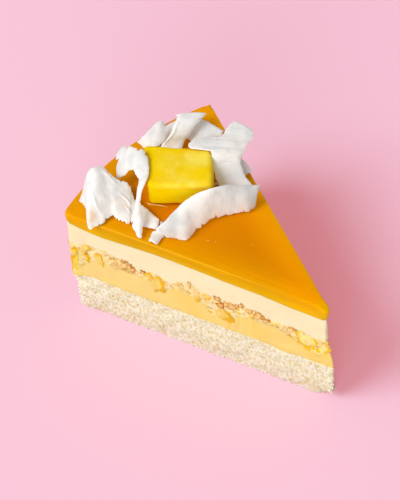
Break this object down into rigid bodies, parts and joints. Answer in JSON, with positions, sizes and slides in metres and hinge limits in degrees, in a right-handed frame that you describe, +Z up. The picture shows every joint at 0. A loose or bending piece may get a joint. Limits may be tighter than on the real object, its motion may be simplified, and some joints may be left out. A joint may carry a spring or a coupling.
{
  "type": "mango coconut cake slice",
  "caption": "Wedge of a round layer cake: sponge, mango curd, crumb layer, cream and mango jelly, topped with a mango cube and curled coconut shavings.",
  "frame": {"origin": "middle of the slice's bounding box, on the flat underside of the sponge", "axes": "+Z up through the layers; +X from the rim towards the pointed tip; +Y towards the back cut, so the front cut faces -Y"},
  "size_m": [0.1021, 0.0709, 0.0679],
  "materials": {
    "sponge": "open, dry crumb",
    "curd": "smooth, soft, satin where cut",
    "crunch": "rough crumbs with glossy mango bits",
    "cream": "smooth satin",
    "jelly": "glossy, slightly see-through",
    "mango": "moist fruit flesh",
    "coconut": "fine fibres, satin"
  },
  "bodies": {
    "root": {"sponge": "sponge", "mango_curd": "curd", "crunch_layer": "crunch", "vanilla_cream": "cream", "mango_jelly": "jelly", "mango_cube": "mango", "coconut_shaving_fold": "coconut", "coconut_shaving_curl": "coconut", "coconut_shaving_rear_left": "coconut", "coconut_shaving_rear_middle": "coconut", "coconut_shaving_rear_right": "coconut", "coconut_shaving_fork": "coconut", "coconut_shaving_front": "coconut", "coconut_shaving_shard": "coconut"}
  },
  "joints": []
}
